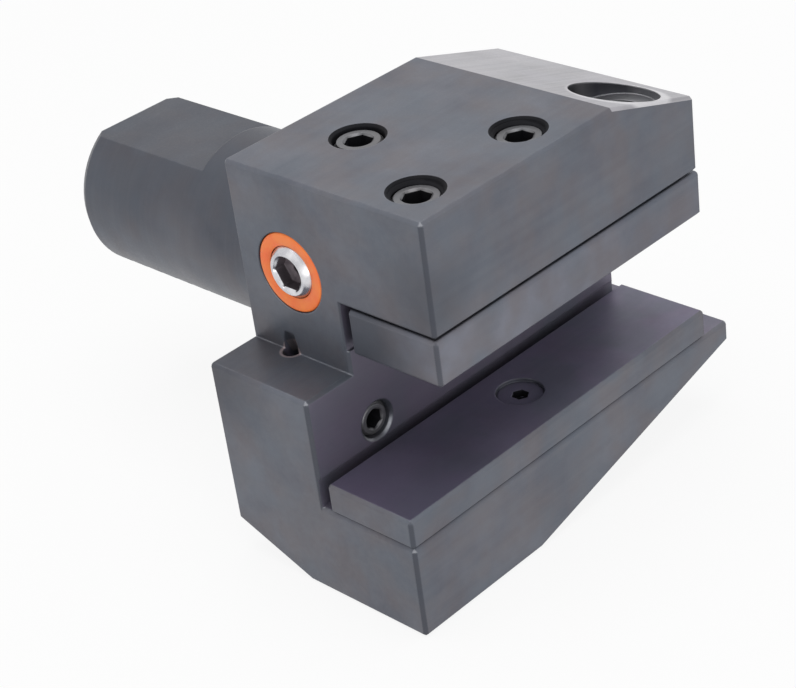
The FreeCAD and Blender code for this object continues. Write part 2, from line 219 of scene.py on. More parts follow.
# Painted shade and light patches are (centre, reach, share, colour) and painted highlight rims (centre, radius,
# width, share, colour)
blackenedLook = {
    "colour": (0.150, 0.158, 0.186), "darker": (0.108, 0.113, 0.138), "paler": paleGreyAndLight,
    "tint": (0.142, 0.122, 0.126), "tintShare": 0.45, "haze": (0.118, 0.140, 0.172), "hazeScale": 95.0,
    "wearAndSheen": (0.40, 0.41, 0.44), "wearShare": 0.30, "blotchScale": 70.0, "tintScale": 150.0,
    "grainScale": 2600.0, "wearScale": 420.0, "blockLines": (900.0, 26.0, 900.0),
    "shankLines": (1500.0, 40.0, 40.0), "lineShare": 0.10, "grainShare": 0.28, "edgeRadius": 0.4 * mm,
    "paintedShade": shadeBlack, "shankShadeShare": 0.60, "shankShadeHeights": (-0.012, 0.012), "edgeShade": 0.7,
    "cornerShine": 0.6, "patchCore": 0.3, "highlightCore": 0.4, "specular": 0.5, "roughness": 0.42,
    "roughSpread": 0.12, "blotchGloss": 0.05, "metallic": 0.70, "lineRelief": 0.8, "reliefShare": 0.30,
    "reliefDepth": 0.03 * mm,
    # Darker patches by the front left edge and on the ledge by the web are painted shade; lighter ones low on
    # the shank are painted light
    "lightShadePatches": [(Vector((40, -25, 15)) * mm, 10 * mm, 0.45, shadeBlack),
               (Vector((0, -34, -2.3)) * mm, 14 * mm, 0.50, shadeBlack),
               (Vector((-6, -13, -8)) * mm, 12 * mm, 0.45, paleGreyAndLight),
               (Vector((-30, -9, -12)) * mm, 20 * mm, 0.45, paleGreyAndLight)],
    # Pinkish painted highlight on the lip of the jet bore at the ledge
    "highlightRims": [(Vector((8.6, -25.5, -2.5)) * mm, 1.7 * mm, 0.4 * mm, 0.55, (0.58, 0.46, 0.46))],
}
plainLook = {**blackenedLook, "cornerShine": 0.0, "lightShadePatches": [], "highlightRims": []}
# The bar's steel is lighter than the body's, painted light for its shaded front, with painted shade at its -Y
# end
barLook = {
    **plainLook, "colour": (0.180, 0.186, 0.222), "darker": (0.130, 0.134, 0.163),
    "lightShadePatches": [(Vector((24, -25.5, 5)) * mm, 15 * mm, 0.6, shadeBlack)],
}
# The plate's top and its screw take a lighter, purple copy of the body's steel, painted light, with painted
# shade towards the front -Y corner
plateLook = {
    **plainLook, "colour": (0.196, 0.178, 0.258), "darker": (0.150, 0.134, 0.203),
    "tint": (0.155, 0.126, 0.190), "roughness": 0.38, "metallic": 0.40,
    "lightShadePatches": [(Vector((36, -34, -16)) * mm, 30 * mm, 0.60, (0.082, 0.070, 0.118))],
}
# The slot's wall and floor take a lighter, purple copy of the body's steel, painted light, with painted shade
# on the wall's upper -Y part
slotLook = {
    **plateLook, "colour": (0.175, 0.162, 0.215), "darker": (0.130, 0.118, 0.165), "metallic": 0.35,
    "lightShadePatches": [(Vector((21.2, -22, -3)) * mm, 22 * mm, 0.60, (0.085, 0.074, 0.105))],
}
# Near-black painted shade for the bores, their threads and mouths, and the screws' key wells
boreLook = {
    **plainLook, "colour": (0.012, 0.012, 0.015), "darker": (0.008, 0.008, 0.010), "paler": (0.03, 0.03, 0.035),
    "tint": (0.014, 0.012, 0.013), "haze": (0.010, 0.012, 0.016), "wearShare": 0.0, "edgeShade": 0.0,
    "roughness": 0.6, "metallic": 0.2, "specular": 0.12,
}
# Painted shade in the nozzle ball's key well, darker than the ball's bright steel
wellLook = {
    **boreLook, "colour": (0.24, 0.20, 0.22), "darker": (0.15, 0.125, 0.14), "metallic": 0.5,
    "specular": 0.4, "roughness": 0.4,
}
bareLook = {
    **plainLook, "colour": (0.40, 0.39, 0.41), "darker": (0.315, 0.31, 0.33), "paler": (0.52, 0.51, 0.53),
    "tint": (0.40, 0.39, 0.43), "haze": (0.36, 0.36, 0.39), "wearAndSheen": (0.75, 0.75, 0.77),
    "blockLines": (1800.0, 60.0, 60.0), "lineShare": 0.35, "roughness": 0.34, "metallic": 0.9,
    "reliefDepth": 0.02 * mm,
    # Painted highlight round the mouth of the third clamp screw's pocket on the slope
    "highlightRims": [(Vector((33.2, 25.7, 24.8)) * mm, 7.0 * mm, 1.3 * mm, 0.55, (0.80, 0.79, 0.81))],
}
pocketLook = {
    **bareLook, "colour": (0.30, 0.30, 0.315), "darker": (0.21, 0.21, 0.225), "paler": (0.38, 0.38, 0.39),
    "tint": (0.27, 0.26, 0.28), "haze": (0.23, 0.24, 0.26), "highlightRims": [],
    # near-black painted shade inside the third clamp screw's pocket
    "lightShadePatches": [(Vector((29.5, 21, 23)) * mm, 10 * mm, 0.92, (0.018, 0.018, 0.022))],
}
screwLook = {
    **plainLook, "colour": (0.185, 0.187, 0.198), "darker": (0.125, 0.125, 0.134), "paler": (0.30, 0.30, 0.31),
    "tint": (0.16, 0.148, 0.15), "haze": (0.15, 0.16, 0.18), "wearAndSheen": (0.45, 0.45, 0.47), "wearShare": 0.5,
    "edgeRadius": 0.15 * mm, "edgeShade": 0.0, "roughness": 0.34, "reliefDepth": 0.02 * mm,
}
springLook = {
    **screwLook, "colour": (0.34, 0.34, 0.36), "darker": (0.24, 0.24, 0.26), "paler": (0.5, 0.5, 0.52),
    "tint": (0.30, 0.29, 0.30), "haze": (0.28, 0.29, 0.32),
}

blackenedSteel = steelFinish("blackenedSteel", blackenedLook)
barSteel = steelFinish("barSteel", barLook)
plateSteel = steelFinish("plateSteel", plateLook)
plateSideSteel = steelFinish("plateSideSteel", plainLook)
bareSteel = steelFinish("bareSteel", bareLook)
screwSteel = steelFinish("screwSteel", screwLook)
springSteel = steelFinish("springSteel", springLook)
slotSteel = steelFinish("slotSteel", slotLook)
boreSteel = steelFinish("boreSteel", boreLook)
pocketSteel = steelFinish("pocketSteel", pocketLook)
wellSteel = steelFinish("wellSteel", wellLook)


# Bright turned steel of the nozzle ball, with rings about the nozzle's axis
brightLook = {"colour": (0.74, 0.74, 0.76), "darker": (0.52, 0.52, 0.55), "ringScale": 900.0,
              "ringWarp": 1.5, "smearScale": 500.0, "roughness": 0.20, "roughSpread": 0.16, "reliefShare": 0.4,
              "reliefDepth": 0.006 * mm, "edgeRadius": 0.12 * mm}


def brightFinish(name, look, centre):
    finish, tree, shader, place = newFinish(name)
    centred = addNode(tree, "ShaderNodeMapping", {"Vector": place, "Location": -centre}).outputs[0]
    rings = addNode(tree, "ShaderNodeTexWave", {"Vector": centred, "Scale": look["ringScale"],
                                                "Distortion": look["ringWarp"]},
                    wave_type="RINGS", rings_direction="Y").outputs["Fac"]
    smear = remap(tree, noiseOn(tree, place, look["smearScale"], detail=3.0), *spans["smear"])
    feed(tree, shader.inputs["Base Color"], blendColours(tree, smear, look["darker"], look["colour"]))
    feed(tree, shader.inputs["Roughness"],
         calc(tree, "MULTIPLY_ADD", smear, look["roughSpread"], look["roughness"]))
    shader.inputs["Metallic"].default_value = 1.0
    addRelief(tree, shader, rings, roundedNormal(tree, look["edgeRadius"]), look)
    return finish


# Moulded plastic of the collar and rubber of the seals
mouldedLook = {"colour": (1.0, 0.250, 0.048), "darker": (0.98, 0.175, 0.040), "blotchScale": 380.0,
               "grainScale": 5200.0, "roughness": 0.36, "roughSpread": 0.14, "reliefShare": 0.4,
               "reliefDepth": 0.012 * mm, "edgeRadius": 0.2 * mm}
rubberLook = {"colour": (0.030, 0.030, 0.031), "darker": (0.018, 0.018, 0.019), "blotchScale": 300.0,
              "grainScale": 4200.0, "roughness": 0.52, "roughSpread": 0.16, "reliefShare": 0.4,
              "reliefDepth": 0.01 * mm, "edgeRadius": 0.1 * mm}


def mouldedFinish(name, look):
    finish, tree, shader, place = newFinish(name)
    blotch = remap(tree, noiseOn(tree, place, look["blotchScale"], detail=3.0), *spans["blotch"])
    grain = noiseOn(tree, place, look["grainScale"])
    feed(tree, shader.inputs["Base Color"], blendColours(tree, blotch, look["darker"], look["colour"]))
    rough = remap(tree, grain, *spans["grain"])
    feed(tree, shader.inputs["Roughness"],
         calc(tree, "MULTIPLY_ADD", rough, look["roughSpread"], look["roughness"]))
    addRelief(tree, shader, grain, roundedNormal(tree, look["edgeRadius"]), look)
    return finish


orangePlastic = mouldedFinish("orangePlastic", mouldedLook)
sealRubber = mouldedFinish("sealRubber", rubberLook)
print("finishes made")


# Mesh helpers: edges stay sharp from these degrees on, and points weld within these distances
sharpFrom = {"milled": 13, "turned": 24, "fine": 30, "seal": 60}
weldPlan = {"copy": 0.001 * mm, "bands": 0.002 * mm, "slivers": 0.0005 * mm}
roundPlan = {"smallestArea": 1e-10, "smallestTurn": 0.3}
aligned = {"roughly": 0.5, "mostly": 0.9, "fully": 0.99}     # least cosine between a normal and an axis


def finishPiece(name, mesh, finishes, sharpAngle, body, replaced):
    mesh.shade_smooth()
    mesh.set_sharp_from_angle(angle=math.radians(sharpAngle))
    for finish in finishes:
        mesh.materials.append(finish)
    piece = bpy.data.objects.new(name, mesh)
    bpy.context.scene.collection.objects.link(piece)
    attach(piece, body)
    if replaced:
        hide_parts(*replaced)
    return piece


def plainMesh(name, shell):
    # Writes a closed shell out as a mesh with its faces outward and nothing but its shape
    bmesh.ops.recalc_face_normals(shell, faces=shell.faces)
    points = [tuple(v.co) for v in shell.verts]
    shell.verts.index_update()
    faces = [[v.index for v in f.verts] for f in shell.faces]
    shell.free()
    mesh = bpy.data.meshes.new(name)
    mesh.from_pydata(points, [], faces)
    return mesh


def flatPlanes(mesh, sharpAngle):
    # Faces that lie in a plane shade flat, and only those that belong to a round shade smooth
    shell = bmesh.new()
    shell.from_mesh(mesh)
    rounded = set()
    least, most = math.radians(roundPlan["smallestTurn"]), math.radians(sharpAngle)
    for edge in shell.edges:
        areas = [face.calc_area() for face in edge.link_faces]
        wide = len(areas) == 2 and min(areas) > roundPlan["smallestArea"]
        if wide and least < edge.calc_face_angle(0) < most:
            rounded.update(face.index for face in edge.link_faces)
    shell.free()
    for face in mesh.polygons:
        face.use_smooth = face.index in rounded


def mergedCopy(node, name, finishes, body, sharpAngle=sharpFrom["milled"]):
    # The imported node's own form, joined up so that its flats and rounds shade cleanly
    shell = bmesh.new()
    shell.from_mesh(nodes[node].data)
    bmesh.ops.remove_doubles(shell, verts=shell.verts, dist=weldPlan["copy"])
    piece = finishPiece(name, plainMesh(name, shell), finishes, sharpAngle, body, [node])
    flatPlanes(piece.data, sharpAngle)
    return piece


def paintFaces(mesh, place, belongs):
    # Gives the faces that belong the finish at that place in the mesh's list
    for face in mesh.polygons:
        if belongs(face):
            face.material_index = place


def onAxis(place, axis):
    # Turns +Z to axis and moves the origin to place
    return Matrix.Translation(place) @ upward.rotation_difference(axis).to_matrix().to_4x4()


def hexReach(angle):
    # Distance from the axis to a hexagon's side, for a hexagon 2 across flats with a corner at angle 0
    return 1 / math.cos(angle % (math.pi / 3) - math.pi / 6)


def skinRows(name, rows, segments):
    # Closed skin through rows of (radius, height, hexness) that run round a section and back to the start
    shell = bmesh.new()
    rings = []
    for radius, height, hexness in rows:
        ring = []
        for i in range(segments):
            angle = 2 * math.pi * i / segments
            reach = radius * (1 + hexness * (hexReach(angle) - 1))
            ring.append(shell.verts.new((reach * math.cos(angle), reach * math.sin(angle), height)))
        rings.append(ring)
    for first, second in zip(rings, rings[1:] + rings[:1]):
        for i in range(segments):
            j = (i + 1) % segments
            shell.faces.new((first[i], first[j], second[j], second[i]))
    return plainMesh(name, shell)


# Block, bar and plate keep their packed form
slopePlan = {"start": 16 * mm, "top": 28 * mm, "end": 35.5 * mm, "height": 22 * mm, "skin": 0.56 * mm,
             "beyond": 0.05 * mm}
slotPlan = {"wall": 21.3 * mm, "floor": -20.9 * mm, "roof": 9.45 * mm}
borePlan = {"roof": slotPlan["roof"], "plain": 4.6 * mm, "pocket": 7.1 * mm, "pocketFloor": 21.6 * mm}
plateWell = 1.45 * mm       # reach of the plate screw's key well
clampNumbers = (1, 2, 3)


def middleOf(node):
    low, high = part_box(node)
    return (low + high) / 2


def bareSlope(mesh, plan):
    # The machined slope and the bevels round it are bare metal
    edge = Vector((0, plan["start"], plan["top"]))
    run = Vector((0, plan["end"], plan["height"])) - edge
    normal = Vector((0, -run.z, run.y)).normalized()
    paintFaces(mesh, 1, lambda face: face.center.x > 0 and face.center.y > plan["start"] + plan["beyond"]
               and (face.center - edge).dot(normal) > -plan["skin"]
               and face.normal.dot(normal) > aligned["roughly"])


def slotFaces(mesh, plan):
    # The slot's rear wall and floor, which take the slot's lighter steel of painted light
    paintFaces(mesh, 2, lambda face: face.center.x > 0 and face.normal.x > aligned["mostly"]
               and face.center.x < plan["wall"] and face.center.z < plan["roof"])
    paintFaces(mesh, 2, lambda face: face.center.x > 0 and face.normal.z > aligned["mostly"]
               and face.center.z < plan["floor"])


def darkBores(mesh, plan):
    # Bores and mouths of the upright screws take near-black painted shade, and the third one's pocket is half
    # bare
    for node in ("clamp_screw_1", "clamp_screw_2", "clamp_screw_3", "riser_plug"):
        middle = middleOf(node)
        for face in mesh.polygons:
            away = (face.center - middle).xy.length
            level = face.normal.z > aligned["fully"]
            if face.center.z < plan["roof"] or away > plan["pocket"]:
                continue
            if away < plan["plain"] and not level:
                face.material_index = 3
            elif node == "clamp_screw_3" and (not level or face.center.z < plan["pocketFloor"]):
                face.material_index = 4


holderBody = mergedCopy("holder_body", "holderBody",
                        [blackenedSteel, bareSteel, slotSteel, boreSteel, pocketSteel], "holder").data
bareSlope(holderBody, slopePlan)
slotFaces(holderBody, slotPlan)
darkBores(holderBody, borePlan)
mergedCopy("clamp_bar", "clampBar", [barSteel], "bar")
# The top keeps the plate's lighter steel of painted light, and the sides take the body's steel
packingPlate = mergedCopy("packing_plate", "packingPlate", [plateSteel, plateSideSteel], "holder").data
paintFaces(packingPlate, 1, lambda face: face.normal.z < aligned["mostly"])
# The plate screw's key well takes the near-black painted shade
plateScrew = mergedCopy("plate_screw", "plateScrew", [plateSteel, boreSteel], "holder",
                        sharpFrom["turned"]).data
paintFaces(plateScrew, 1, lambda face: (face.center - middleOf("plate_screw")).xy.length < plateWell
           and face.normal.z < aligned["fully"])
for number in clampNumbers:
    mergedCopy("snap_ring_%d" % number, "snapRing%d" % number, [springSteel], "bar",
               sharpFrom["turned"])
print("block, bar and plate dressed")


# Geometry trees
def newTree(name, inputs):
    # Geometry tree with named inputs: returns the tree, its input sockets by name and its output node
    tree = bpy.data.node_groups.new(name, "GeometryNodeTree")
    for label, value in inputs.items():
        kind = "NodeSocketInt" if isinstance(value, int) else "NodeSocketFloat"
        tree.interface.new_socket(label, in_out="INPUT", socket_type=kind).default_value = value
    tree.interface.new_socket("Geometry", in_out="OUTPUT", socket_type="NodeSocketGeometry")
    given = tree.nodes.new("NodeGroupInput").outputs
    return tree, {label: given[label] for label in inputs}, tree.nodes.new("NodeGroupOutput")


def gridPlace(tree, columns, rows):
    # Grid to be bent into shape, with its two running shares from 0 to 1
    grid = addNode(tree, "GeometryNodeMeshGrid", {"Size X": 1.0, "Size Y": 1.0})
    feed(tree, grid.inputs["Vertices X"], calc(tree, "ADD", columns, 1.0))
    feed(tree, grid.inputs["Vertices Y"], calc(tree, "ADD", rows, 1.0))
    parts = addNode(tree, "ShaderNodeSeparateXYZ", {0: tree.nodes.new("GeometryNodeInputPosition").outputs[0]})
    return (grid.outputs["Mesh"], calc(tree, "ADD", parts.outputs[0], 0.5),
            calc(tree, "ADD", parts.outputs[1], 0.5))


def roundPlace(tree, mesh, around, radius, height):
    # Moves a grid's points to a radius and height, around from 0 to 1 turn
    angle = calc(tree, "MULTIPLY", around, 2 * math.pi)
    place = addNode(tree, "ShaderNodeCombineXYZ", {
        0: calc(tree, "MULTIPLY", radius, calc(tree, "COSINE", angle)),
        1: calc(tree, "MULTIPLY", radius, calc(tree, "SINE", angle)), 2: height})
    moved = addNode(tree, "GeometryNodeSetPosition", {"Geometry": mesh, "Position": place.outputs[0]})
    return moved.outputs[0]


def lerp(tree, first, second, share):
    return calc(tree, "MULTIPLY_ADD", calc(tree, "SUBTRACT", second, first), share, first)


def makeRingBand():
    # Band between two rings, each with a radius, a height and a share of hexagon
    tree, given, out = newTree("ringBand", {
        "Segments": 48, "Radius A": 0.0, "Height A": 0.0, "Hex A": 0.0,
        "Radius B": 0.0, "Height B": 0.0, "Hex B": 0.0})
    mesh, around, share = gridPlace(tree, given["Segments"], 1)
    angle = calc(tree, "MULTIPLY", around, 2 * math.pi)
    side = calc(tree, "SUBTRACT", calc(tree, "MODULO", angle, math.pi / 3), math.pi / 6)
    corner = calc(tree, "SUBTRACT", calc(tree, "DIVIDE", 1.0, calc(tree, "COSINE", side)), 1.0)
    hexness = lerp(tree, given["Hex A"], given["Hex B"], share)
    reach = calc(tree, "MULTIPLY_ADD", hexness, corner, 1.0)
    radius = calc(tree, "MULTIPLY", lerp(tree, given["Radius A"], given["Radius B"], share), reach)
    height = lerp(tree, given["Height A"], given["Height B"], share)
    feed(tree, out.inputs[0], roundPlace(tree, mesh, around, radius, height))
    return tree


# Rows in each turn of a thread, shares of its half pitch where the flank starts and ends, and a hair's turn
# that keeps a row on its own side of a crest
threadForm = {"rows": 8.0, "rootShare": 0.2, "crestShare": 0.8, "nudge": 0.001}
threadSizes = {"Segments": 48, "Crest": 3.95 * mm, "Depth": 0.6 * mm, "Pitch": 1.25 * mm, "Run Out": 0.65 * mm}


def makeThreadBand(name, female):
    # Right-hand thread whose rows climb with the helix, its ends run out to one plain ring each
    tree, given, out = newTree(name, {**threadSizes, "Bottom": 0.0, "Top": 1.0})
    span = calc(tree, "SUBTRACT", given["Top"], given["Bottom"])
    turns = calc(tree, "ADD", calc(tree, "CEIL", calc(tree, "DIVIDE", span, given["Pitch"])), 1.0)
    rows = calc(tree, "MULTIPLY", turns, threadForm["rows"])
    mesh, around, share = gridPlace(tree, given["Segments"], rows)
    turn = calc(tree, "DIVIDE", calc(tree, "ROUND", calc(tree, "MULTIPLY", share, rows)), threadForm["rows"])
    climb = calc(tree, "SUBTRACT", calc(tree, "ADD", turn, around), 1.0)
    height = calc(tree, "MULTIPLY_ADD", climb, given["Pitch"], given["Bottom"])
    height = calc(tree, "MINIMUM", calc(tree, "MAXIMUM", height, given["Bottom"]), given["Top"])
    phase = calc(tree, "FRACT", calc(tree, "ADD", turn, threadForm["nudge"]))
    ridge = calc(tree, "ABSOLUTE", calc(tree, "SUBTRACT", calc(tree, "MULTIPLY", phase, 2.0), 1.0))
    flank = remap(tree, ridge, threadForm["rootShare"], threadForm["crestShare"])
    valley = calc(tree, "MULTIPLY", given["Depth"], calc(tree, "SUBTRACT", 1.0, flank))
    radius = calc(tree, "SUBTRACT", given["Crest"], valley)
    up = calc(tree, "SUBTRACT", height, given["Bottom"])
    down = calc(tree, "SUBTRACT", given["Top"], height)
    nearest = calc(tree, "MINIMUM", up, down)
    if female:
        limit = calc(tree, "SUBTRACT", given["Crest"], nearest)
        radius = calc(tree, "MAXIMUM", radius, limit)
    else:
        limit = calc(tree, "ADD", calc(tree, "SUBTRACT", given["Crest"], given["Run Out"]), nearest)
        radius = calc(tree, "MINIMUM", radius, limit)
    feed(tree, out.inputs[0], roundPlace(tree, mesh, around, radius, height))
    return tree


ringBand = makeRingBand()
screwThread = makeThreadBand("screwThread", False)
nutThread = makeThreadBand("nutThread", True)


def addBand(tree, group, inputs):
    made = tree.nodes.new("GeometryNodeGroup")
    made.node_tree = group
    for label, value in inputs.items():
        feed(tree, made.inputs[label], value)
    return made.outputs[0]


def addRings(tree, segments, rows):
    # One band between each two rows of (radius, height, hexness)
    bands = []
    for first, second in zip(rows, rows[1:]):
        bands.append(addBand(tree, ringBand, {
            "Segments": segments, "Radius A": first[0], "Height A": first[1], "Hex A": first[2],
            "Radius B": second[0], "Height B": second[1], "Hex B": second[2]}))
    return bands


def closeTree(tree, out, bands, finish):
    joined = tree.nodes.new("GeometryNodeJoinGeometry")
    for band in bands:
        tree.links.new(band, joined.inputs[0])
    merged = addNode(tree, "GeometryNodeMergeByDistance", {"Geometry": joined.outputs[0],
                                                           "Distance": weldPlan["bands"]})
    real = addNode(tree, "GeometryNodeRealizeInstances", {"Geometry": merged.outputs[0]})
    dressed = addNode(tree, "GeometryNodeSetMaterial", {"Geometry": real.outputs[0], "Material": finish})
    feed(tree, out.inputs[0], dressed.outputs[0])
    return tree


def wellFaces(mesh, reach, floor, sill):
    # Faces within reach of the upright axis, between floor and sill, take the second finish
    paintFaces(mesh, 1, lambda face: face.center.xy.length < reach and floor < face.center.z < sill)


def grow(name, tree, values, matrix, finishes, sharpAngle, body, replaced, well=None):
    # Runs a tree on an empty mesh, keeps its result as a plain mesh and puts it in place
    seed = bpy.data.objects.new(name + "Seed", bpy.data.meshes.new(name + "Seed"))
    bpy.context.scene.collection.objects.link(seed)
    modifier = seed.modifiers.new("shape", "NODES")
    modifier.node_group = tree
    labels = {item.name: item.identifier for item in tree.interface.items_tree if item.in_out == "INPUT"}
    for label, value in values.items():
        modifier[labels[label]] = value
    bpy.context.view_layer.update()
    result = bpy.data.meshes.new_from_object(seed.evaluated_get(bpy.context.evaluated_depsgraph_get()))
    bpy.data.objects.remove(seed)
    shell = bmesh.new()
    shell.from_mesh(result)
    bmesh.ops.dissolve_degenerate(shell, edges=shell.edges, dist=weldPlan["slivers"])
    mesh = plainMesh(name, shell)
    if well:
        wellFaces(mesh, *well)
    mesh.transform(matrix)
    return finishPiece(name, mesh, finishes, sharpAngle, body, replaced)


# Headless screws and plugs: plain or footed end, thread, key well
keyScrewPlan = {**threadSizes, "Top": 0.0, "Bottom": -8.0 * mm, "Key": 4.0 * mm, "Key Depth": 4.0 * mm,
                "Key Bevel": 0.3 * mm, "Foot Radius": 3.0 * mm, "Foot Height": 1.8 * mm,
                "Foot Bevel": 0.4 * mm, "Neck Radius": 2.2 * mm, "Tip": -22.65 * mm, "Shoulder": -17.85 * mm}
keyRim = 1.04 / math.sqrt(3)        # radius of a key well's rim over the key's width
wellShares = {"reach": 0.6, "below": 0.3, "sill": 0.9}      # of the key, of the key and of its bevel


def keyWell(sizes):
    # Reach, floor and sill of a key well whose mouth is at height 0
    key = sizes["Key"]
    return (wellShares["reach"] * key, -sizes["Key Depth"] - wellShares["below"] * key,
            -wellShares["sill"] * keyScrewPlan["Key Bevel"])


def makeKeyScrew(name, footed, finish):
    tree, given, out = newTree(name, keyScrewPlan)
    endRadius = calc(tree, "SUBTRACT", given["Crest"], given["Run Out"])
    bands = [addBand(tree, screwThread, {label: given[label] for label in
                                         ("Segments", "Crest", "Depth", "Pitch", "Run Out", "Bottom", "Top")})]
    if footed:
        tip = given["Tip"]
        foot = calc(tree, "ADD", tip, given["Foot Height"])
        low = [(0.0, tip, 0.0), (calc(tree, "SUBTRACT", given["Foot Radius"], given["Foot Bevel"]), tip, 0.0),
               (given["Foot Radius"], calc(tree, "ADD", tip, given["Foot Bevel"]), 0.0),
               (given["Foot Radius"], foot, 0.0), (given["Neck Radius"], foot, 0.0),
               (given["Neck Radius"], given["Shoulder"], 0.0), (endRadius, given["Bottom"], 0.0)]
    else:
        low = [(0.0, given["Bottom"], 0.0), (endRadius, given["Bottom"], 0.0)]
    flat = calc(tree, "DIVIDE", given["Key"], 2.0)
    rim = calc(tree, "MULTIPLY", given["Key"], keyRim)
    floor = calc(tree, "SUBTRACT", given["Top"], given["Key Depth"])
    high = [(endRadius, given["Top"], 0.0), (rim, given["Top"], 0.0),
            (flat, calc(tree, "SUBTRACT", given["Top"], given["Key Bevel"]), 1.0), (flat, floor, 1.0),
            (0.0, calc(tree, "SUBTRACT", floor, calc(tree, "DIVIDE", flat, 2.0)), 0.0)]
    bands += addRings(tree, given["Segments"], low) + addRings(tree, given["Segments"], high)
    return closeTree(tree, out, bands, finish)


footedScrew = makeKeyScrew("footedScrew", True, screwSteel)
keyPlug = makeKeyScrew("keyPlug", False, screwSteel)

# Heights of the clamp screws' shoulders and of their threads' feet, and from a screw's top up to its mouth,
# less the mouth's bevel
clampPlan = {"shoulder": 9.15 * mm, "threadFoot": 9.65 * mm, "mouthRise": 0.55 * mm}
# Screws and plugs take near-black painted shade in their key wells
screwFinishes = [screwSteel, boreSteel]


def clampPlace(low, high, height):
    # Point at that height on the axis of the clamp screw with this box
    return Vector(((low.x + high.x) / 2, (low.y + high.y) / 2, height))


for number in clampNumbers:
    node = "clamp_screw_%d" % number
    low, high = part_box(node)
    heights = {"Bottom": clampPlan["threadFoot"], "Tip": low.z, "Shoulder": clampPlan["shoulder"]}
    grow("clampScrew%d" % number, footedScrew, {label: height - high.z for label, height in heights.items()},
         onAxis(clampPlace(low, high, high.z), upward), screwFinishes, sharpFrom["fine"], "screw_%d" % number,
         [node], keyWell(keyScrewPlan))

largePlug = {"Crest": 3.95 * mm, "Key": 4.0 * mm, "Key Depth": 4.0 * mm}
smallPlug = {"Crest": 2.95 * mm, "Key": 3.0 * mm, "Key Depth": 3.0 * mm, "Pitch": 1.0 * mm, "Depth": 0.5 * mm,
             "Run Out": 0.55 * mm}
for name, node, axis, sizes in (("riserPlug", "riser_plug", Vector((0, 0, 1)), largePlug),
                                ("portPlug", "port_plug", Vector((1, 0, 0)), smallPlug),
                                ("crossPlug", "cross_plug", Vector((0, 1, 0)), smallPlug)):
    low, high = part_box(node)
    length = (high - low).dot(axis)
    grow(name, keyPlug, {**sizes, "Bottom": -length}, onAxis(middleOf(node) + axis * length / 2, axis),
         screwFinishes, sharpFrom["fine"], "holder", [node], keyWell(sizes))
print("screws and plugs made")


# Cut threads in the clamp screws' bores, in step with the screws
nutSleevePlan = {"Segments": 48, "Crest": 4.02 * mm, "Depth": 0.6 * mm, "Pitch": 1.25 * mm, "Bottom": 0.0,
                 "Top": 18.0 * mm, "Outer": 4.2 * mm}


def makeNutSleeve(finish):
    tree, given, out = newTree("nutSleeve", nutSleevePlan)
    inner = addBand(tree, nutThread, {label: given[label] for label in
                                      ("Segments", "Crest", "Depth", "Pitch", "Bottom", "Top")})
    turned = addNode(tree, "GeometryNodeFlipFaces", {"Mesh": inner}).outputs[0]
    rows = [(given["Crest"], given["Bottom"], 0.0), (given["Outer"], given["Bottom"], 0.0),
            (given["Outer"], given["Top"], 0.0), (given["Crest"], given["Top"], 0.0)]
    return closeTree(tree, out, [turned] + addRings(tree, given["Segments"], rows), finish)


# The threads in the bores take the near-black painted shade
nutSleeve = makeNutSleeve(boreSteel)
for number in clampNumbers:
    low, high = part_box("clamp_screw_%d" % number)
    foot = clampPlan["threadFoot"]
    reach = high.z + clampPlan["mouthRise"] - foot
    grow("nutThread%d" % number, nutSleeve, {"Top": reach}, onAxis(clampPlace(low, high, foot), upward),
         [boreSteel], sharpFrom["fine"], "holder", [])


# Round seals
sealRingPlan = {"Ring Radius": 14.0 * mm, "Wire Radius": 1.2 * mm, "Ring Steps": 96, "Wire Steps": 20}


def makeSealRing(finish):
    tree, given, out = newTree("sealRing", sealRingPlan)
    path = addNode(tree, "GeometryNodeCurvePrimitiveCircle", {"Resolution": given["Ring Steps"],
                                                              "Radius": given["Ring Radius"]})
    wire = addNode(tree, "GeometryNodeCurvePrimitiveCircle", {"Resolution": given["Wire Steps"],
                                                              "Radius": given["Wire Radius"]})
    tube = addNode(tree, "GeometryNodeCurveToMesh", {"Curve": path.outputs[0],
                                                     "Profile Curve": wire.outputs[0]})
    return closeTree(tree, out, [tube.outputs[0]], finish)


sealRing = makeSealRing(sealRubber)
for name, node, axis in (("shankSeal", "shank_seal", Vector((1, 0, 0))),
                         ("portSeal", "port_seal", Vector((1, 0, 0))),
                         ("nozzleSeal", "nozzle_seal", Vector((0, 1, 0)))):
    low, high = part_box(node)
    wire = (high - low).dot(axis) / 2
    outer = (high - low).z / 2
    grow(name, sealRing, {"Ring Radius": outer - wire, "Wire Radius": wire}, onAxis(middleOf(node), axis),
         [sealRubber], sharpFrom["seal"], "holder", [node])
print("threads and seals made")


# Ball nozzle: heights run out of the side face, along -Y
nozzlePlan = {
    "face": -25.5, "ballRadius": 5.0, "ballDepth": 3.0, "ballFlat": 0.6, "bore": 1.5, "key": 5.0,
    "keyDepth": 2.2, "keyBevel": 0.35, "ballSteps": 26, "seatPlay": 0.1, "collarRadius": 6.55,
    "collarLength": 5.2, "lip": 0.25, "beadHeight": 0.29, "beadHalf": 0.6, "beadDepth": 3.2,
    "rimRound": 0.45, "roundSteps": 6, "seatSteps": 14, "segments": 96,
}


